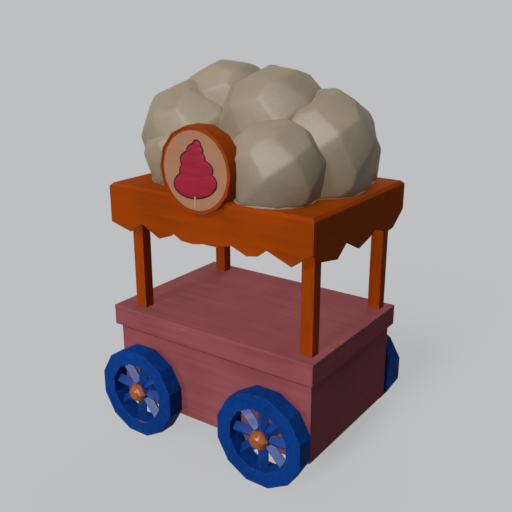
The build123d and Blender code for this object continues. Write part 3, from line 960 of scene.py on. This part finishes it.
@dataclass
class Topper(Assembly):
    """The floss cloud: faceted puffs with soft edges on a base board."""

    base_easing: float = 0.002
    middle: Triple = (0.020, 0.015, 1.830)
    foot: float = 0.004
    front: float = -0.638
    drum_middle: Triple = (SIGN_MIDDLE[0], -0.600, SIGN_MIDDLE[2])
    drum_radius: float = 0.286
    drum_depth: float = 0.148
    drum_sides: int = 56
    block: float = 4.0
    facets: int = 30
    reach: float = 0.96
    drop: float = 1.8
    voxel: float = 0.013
    smoothing: float = 0.5
    rounding: int = 2
    evenness: float = 0.4
    lump_size: float = 0.11
    lump_height: float = 0.004
    puffs: tuple[Puff, ...] = (
        Puff("crown", 0.150, 0.005, 0.465, 0.370, 0.310, 290, "puff_crown"),
        Puff("right", 0.470, 0.060, 0.300, 0.350, 0.350, 132, "puff_right"),
        Puff("front", 0.375, -0.345, 0.215, 0.305, 0.280, 140, "puff_front", True),
        Puff("left", -0.465, -0.100, 0.330, 0.360, 0.345, 70, "puff_left"),
        Puff("upper_left", -0.295, 0.085, 0.550, 0.320, 0.245, 308, "puff_upper_left"),
        Puff("lower_left", -0.455, -0.215, 0.200, 0.285, 0.240, 218, "puff_lower_left"),
        Puff("far_right", 0.495, 0.335, 0.195, 0.235, 0.265, 278, "puff_far_right"),
        Puff("middle", -0.040, -0.265, 0.110, 0.280, 0.235, 30),
        Puff("back_right", 0.170, 0.275, 0.240, 0.300, 0.330, 60),
        Puff("back_left", -0.350, 0.275, 0.230, 0.290, 0.320, 90),
        Puff("low_right", 0.400, 0.080, 0.060, 0.310, 0.270, 45),
    )

    def build(self) -> None:
        """Carve, soften and dress each puff, and dress the board under them."""
        self.eased("topper_base", FLOSS, "cream_shell", self.base_easing)
        for puff in self.puffs:
            bench = self.carve(puff)
            if puff.beside_sign:
                self.make_room(bench)
            self.soften(bench, self.centre_of(puff))
            self.hand_over(bench, FLOSS, (puff.node,), "cream_shell")

    def centre_of(self, puff: Puff) -> Vector:
        """Give a puff's middle."""
        return Vector(self.middle) + Vector((puff.x, puff.y, puff.height))

    def carve(self, puff: Puff) -> Bench:
        """Cut a block down to the puff's facets, its foot and the line behind the sign.

        Args:
            puff: The puff.

        Returns:
            The bench with the faceted form on it.
        """
        centre = self.centre_of(puff)
        size = self.block * self.drop * puff.radius
        bench = Bench.new(f"floss_{puff.name}",
                          lambda: bpy.ops.mesh.primitive_cube_add(size=size, location=centre))
        radius = self.reach * puff.radius
        bench.edit()
        for count in range(self.facets):
            level = 1 - (2 * count + 1) / self.facets
            span = self.reach * puff.rise * (1 if level > 0 else self.drop)
            ring = math.sqrt(1 - level**2)
            angle = count * GOLDEN_ANGLE + math.radians(puff.turn)
            across = Vector((ring * math.cos(angle), ring * math.sin(angle), 0))
            touch = centre + across * radius + Vector((0, 0, level * span))
            bench.bisect(touch, across / radius + Vector((0, 0, level / span)))
        bench.bisect(Vector((0, 0, self.middle[2] + self.foot)), Vector((0, 0, -1)))
        bench.bisect(Vector((0, self.front, 0)), Vector((0, -1, 0)))
        bench.done()
        return bench

    def make_room(self, bench: Bench) -> None:
        """Cut the sign's drum out of a puff that closes round it.

        Args:
            bench: The bench with the puff.
        """
        drum = Bench.new("drum_cutter", lambda: bpy.ops.mesh.primitive_cylinder_add(
            vertices=self.drum_sides, radius=self.drum_radius, depth=self.drum_depth,
            location=self.drum_middle, rotation=(math.pi / 2, 0, 0)))
        bench.apply("BOOLEAN", operation="DIFFERENCE", solver="EXACT", object=drum.obj)
        bpy.data.objects.remove(drum.obj)

    def soften(self, bench: Bench, centre: Vector) -> None:
        """Round a puff's edges, give it a slightly uneven surface and even out its shading.

        Args:
            bench: The bench with the faceted form.
            centre: The puff's middle, away from which its shading leans.
        """
        bench.apply("REMESH", mode="VOXEL", voxel_size=self.voxel)
        bench.apply("SMOOTH", factor=self.smoothing, iterations=self.rounding)
        lumps = bpy.data.textures.get("floss_lumps") or bpy.data.textures.new("floss_lumps", "CLOUDS")
        lumps.noise_scale = self.lump_size
        bench.apply("DISPLACE", texture=lumps, texture_coords="LOCAL", strength=self.lump_height)
        bpy.ops.object.shade_smooth()
        bench.apply("NORMAL_EDIT", mode="RADIAL", offset=centre, mix_mode="COPY", mix_factor=self.evenness)


@dataclass(frozen=True)
class Tier:
    """One roll of floss on the sign: its middle from the sign's and its half sizes, in metres."""

    aside: float
    rise: float
    half_width: float
    half_height: float


@dataclass
class Sign(Assembly):
    """The round sign: its drum, its face, and rolled floss on a stick in low relief."""

    middle: Triple = SIGN_MIDDLE
    easing: float = 0.0045
    face_easing: float = 0.001
    round_steps: int = 3
    smooth_below: float = 40.0
    relief: float = 0.010
    line: float = 0.009
    line_relief: float = 0.004
    tilt: float = -9.0
    roll_segments: int = 64
    roll_rings: int = 24
    stick: tuple[float, float] = (-0.238, -0.160)
    stick_radius: float = 0.007
    stick_sides: int = 24
    stick_easing: float = 0.003
    tiers: tuple[Tier, ...] = (
        Tier(0.000, -0.082, 0.170, 0.088),
        Tier(0.011, 0.002, 0.130, 0.070),
        Tier(-0.013, 0.070, 0.097, 0.055),
        Tier(0.006, 0.125, 0.061, 0.042),
        Tier(0.022, 0.163, 0.029, 0.026),
    )

    def build(self) -> None:
        """Ease the drum and the face, and model the floss on the face."""
        self.eased("sign_rim", orange_paint(Run.EVEN), "orange_paint", self.easing, self.round_steps)
        self.eased("sign_board", SIGN_PAINT, "sign_face", self.face_easing)
        self.keep("sign_brackets", STEEL)
        self.hand_over(self.rolls("sign_floss", 0.0, self.relief), FLOSS_PAINT)
        self.hand_over(self.rolls("sign_line", self.line, self.line_relief), LINE_PAINT)
        self.hand_over(self.stick_piece(), STICK_PAINT)

    def sink(self, bench: Bench) -> None:
        """Cut off what lies behind the sign's face.

        Args:
            bench: The bench with the piece.
        """
        bench.edit()
        bench.bisect(Vector(self.middle), Vector((0, 1, 0)))
        bench.done()

    def rolls(self, name: str, border: float, relief: float) -> Bench:
        """Stack flattened rolls of floss and cut them off at the sign's face.

        Args:
            name: The piece's name.
            border: How much larger the rolls are all round.
            relief: How far they stand out from the face.

        Returns:
            The bench with the rolls joined on it.
        """
        rolls = []
        turn = (0, math.radians(self.tilt), 0)
        for tier in self.tiers:
            place = Vector(self.middle) + Vector((tier.aside, 0, tier.rise))
            size = (tier.half_width + border, relief, tier.half_height + border)
            roll = Bench.new(f"{name}_roll", lambda: bpy.ops.mesh.primitive_uv_sphere_add(
                segments=self.roll_segments, ring_count=self.roll_rings, radius=1, location=place,
                rotation=turn, scale=size))
            self.sink(roll)
            rolls.append(roll)
        whole = rolls[0]
        whole.take()
        for roll in rolls[1:]:
            roll.obj.select_set(True)
        bpy.ops.object.join()
        whole.rename(name)
        whole.smooth(self.smooth_below)
        return whole

    def stick_piece(self) -> Bench:
        """Model the stick under the floss: a rounded rod, half sunk in the face.

        Returns:
            The bench with the stick on it.
        """
        low, high = self.stick
        place = Vector(self.middle) + Vector((0, 0, (low + high) / 2))
        bench = Bench.new("sign_stick", lambda: bpy.ops.mesh.primitive_cylinder_add(
            vertices=self.stick_sides, radius=self.stick_radius, depth=high - low, location=place))
        bench.ease(self.stick_easing, self.round_steps)
        self.sink(bench)
        return bench.shade(self.smooth_below)


@dataclass
class Wheel(Assembly):
    """One wheel: felloes, square spokes set cornerwise, a hub and a faceted cap."""

    rim_easing: float = 0.006
    spoke_easing: float = 0.004
    hub_easing: float = 0.006
    cap_easing: float = 0.0025
    # Cosines: below the first two an edge lies across the axle or a spoke, above the last along a spoke.
    across_axle: float = 0.1
    across_spoke: float = 0.3
    along_spoke: float = 0.9

    def build(self) -> None:
        """Ease and paint the wheel's four sub-parts."""
        low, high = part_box(f"{self.body}_rim")
        centre = (low + high) / 2
        self.eased(f"{self.body}_rim", BLUE_PAINT, "blue_paint", self.rim_easing,
                   wanted=lambda edge: self.runs_round(edge, centre))
        self.eased(f"{self.body}_spokes", SPOKE_PAINT, "blue_paint", self.spoke_easing,
                   wanted=lambda edge: self.runs_out(edge, centre))
        self.eased(f"{self.body}_hub", BLUE_PAINT, "blue_paint", self.hub_easing)
        self.eased(f"{self.body}_cap", CAP_PAINT, "orange_cap", self.cap_easing)

    @staticmethod
    def outward(edge: BMEdge, centre: Vector) -> tuple[Vector, Vector]:
        """Give an edge's direction, and the direction from the axle to its middle.

        Args:
            edge: The edge.
            centre: The wheel's centre.

        Returns:
            Both directions, as unit vectors.
        """
        first, second = (vert.co for vert in edge.verts)
        out = (first + second) / 2 - centre
        out.y = 0
        return (second - first).normalized(), out.normalized()

    def runs_round(self, edge: BMEdge, centre: Vector) -> bool:
        """Say whether an edge runs round the wheel, neither along the axle nor out from it."""
        along, out = self.outward(edge, centre)
        return abs(along.y) < self.across_axle and abs(along.dot(out)) < self.across_spoke

    def runs_out(self, edge: BMEdge, centre: Vector) -> bool:
        """Say whether an edge runs out from the axle, along a spoke."""
        along, out = self.outward(edge, centre)
        return abs(along.dot(out)) > self.along_spoke


@dataclass(frozen=True)
class Lamp:
    """A soft distant lamp: the way to it, its strength, its width in degrees and what it reaches."""

    name: str
    towards: Triple
    strength: float
    width: float
    only_walls_shade: bool = False
    shines: bool = True
    lights: bool = True


@dataclass
class Studio:
    """The camera, the plain pale ground and the soft light, whose fills only the named walls shade."""

    walls: Sequence[str]
    place: Triple = (2.8057, -3.9760, 2.9248)
    pitch: float = 71.317
    heading: float = 35.086
    lens: float = 50.0
    sensor: float = 36.0
    ground: Colour = srgb(190, 191, 193)
    near_ground: Colour = srgb(209, 210, 212)
    bounce: Colour = (0.17, 0.17, 0.17, 1.0)
    glow: Colour = (1.0, 1.0, 1.0, 1.0)
    fill: float = 0.11
    plain_share: float = 0.8
    floor_size: float = 40.0
    near: float = 2.0
    far: float = 5.0
    lamp_distance: float = 6.0
    lamps: tuple[Lamp, ...] = (
        Lamp("key", FRONT_LIGHT, 0.7, 10.0),
        Lamp("front_fill", FRONT_LIGHT, 2.2, 20.0, only_walls_shade=True),
        Lamp("overhead", (0.0, 0.0, 1.0), 0.5, 30.0, only_walls_shade=True),
        Lamp("behind", (-0.35, 0.90, 0.25), 1.1, 30.0, shines=False),
        Lamp("glint", (0.44, -0.75, 0.48), 2.5, 8.0, only_walls_shade=True, lights=False),
    )

    def build(self) -> None:
        """Set up the camera, the world, the floor and the lamps."""
        bpy.context.scene.view_settings.view_transform = "Standard"
        self.camera()
        self.world()
        self.floor()
        walls = bpy.data.collections.new("walls")
        for name in self.walls:
            walls.objects.link(bpy.data.objects[name])
        for lamp in self.lamps:
            self.hang(lamp, walls)

    def camera(self) -> None:
        """Add the camera at the photograph's viewing angle."""
        Bench.clear()
        turn = (math.radians(self.pitch), 0, math.radians(self.heading))
        bpy.ops.object.camera_add(location=self.place, rotation=turn)
        camera = bpy.context.object
        camera.name = "camera"
        camera.data.lens = self.lens
        camera.data.sensor_width = self.sensor
        bpy.context.scene.camera = camera

    def hang(self, lamp: Lamp, walls: Collection) -> None:
        """Add a lamp.

        Args:
            lamp: The lamp.
            walls: The pieces that shade it where not all do.
        """
        Bench.clear()
        way = Vector(lamp.towards)
        turn = way.to_track_quat("Z", "Y").to_euler()
        bpy.ops.object.light_add(type="SUN", location=way * self.lamp_distance, rotation=turn)
        made = bpy.context.object
        made.name = lamp.name
        made.data.energy = lamp.strength
        made.data.angle = math.radians(lamp.width)
        made.visible_glossy = lamp.shines
        made.visible_diffuse = lamp.lights
        if lamp.only_walls_shade:
            made.light_linking.blocker_collection = walls

    def seen(self, sheet: Sheet) -> NodeSocket:
        """Mark the rays that show the background: from the camera, or mirrored or passed on by a surface.

        Args:
            sheet: The nodes of the world or the floor.

        Returns:
            1 for such a ray and 0 for others.
        """
        path = sheet.node("LightPath")
        through = sheet.math("MAXIMUM", path.outputs["Is Glossy Ray"], path.outputs["Is Transmission Ray"])
        return sheet.math("MAXIMUM", path.outputs["Is Camera Ray"], through)

    def world(self) -> None:
        """Light the cart evenly and weakly, and show the pale ground's colour behind it."""
        made = bpy.data.worlds.new("studio")
        bpy.context.scene.world = made
        made.use_nodes = True
        sheet = Sheet(made.node_tree)
        seen = self.seen(sheet)
        sheet.named(made.node_tree.nodes["Background"], {
            "Color": sheet.mix(seen, self.glow, self.ground),
            "Strength": sheet.span(seen, UNIT, (self.fill, 1.0))})

    def floor(self) -> None:
        """Lay the floor, whose colour fades into the background and keeps a weak shadow."""
        floor = Bench.new("floor", lambda: bpy.ops.mesh.primitive_plane_add(size=self.floor_size)).obj
        made = bpy.data.materials.new("studio_floor")
        made.use_nodes = True
        floor.data.materials.append(made)
        sheet = Sheet(made.node_tree)
        made.node_tree.nodes.remove(made.node_tree.nodes["Principled BSDF"])
        seen = self.seen(sheet)
        near = sheet.mix(seen, self.bounce, self.near_ground)
        lit = sheet.named(sheet.node("BsdfDiffuse"), {"Color": near})
        plain = sheet.named(sheet.node("Emission"), {"Color": self.ground})
        away = sheet.vector("LENGTH", sheet.here()).outputs["Value"]
        fading = sheet.span(away, (self.near, self.far), (self.plain_share, 1.0))
        both = sheet.node("MixShader")
        shown = sheet.math("MULTIPLY", fading, seen)
        sheet.feed_all(both.inputs, (shown, lit.outputs[0], plain.outputs[0]))
        sheet.named(made.node_tree.nodes["Material Output"], {"Surface": both.outputs[0]})


def main() -> None:
    """Build the cart's looks in order and report each piece."""
    logging.basicConfig(level=logging.INFO, format="%(name)s: %(message)s")
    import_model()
    effects = Effects()
    assemblies: list[Assembly] = [kind(effects) for kind in (Chassis, Body, Counter, Canopy, Topper, Sign)]
    assemblies += [Door(effects, f"door_{hand}") for hand in ("left", "right")]
    for row in ("front", "back"):
        for hand in ("left", "right"):
            assemblies.append(Wheel(effects, f"wheel_{row}_{hand}"))
    for assembly in assemblies:
        assembly.build()
        for piece in assembly.made:
            faces = len(bpy.data.objects[piece].data.polygons)
            LOG.info("%s: %s, %d faces", type(assembly).__name__, piece, faces)
    walls = [piece for part in assemblies if isinstance(part, (Body, Counter, Door)) for piece in part.made]
    Studio(walls).build()


if __name__ == "__main__":
    main()
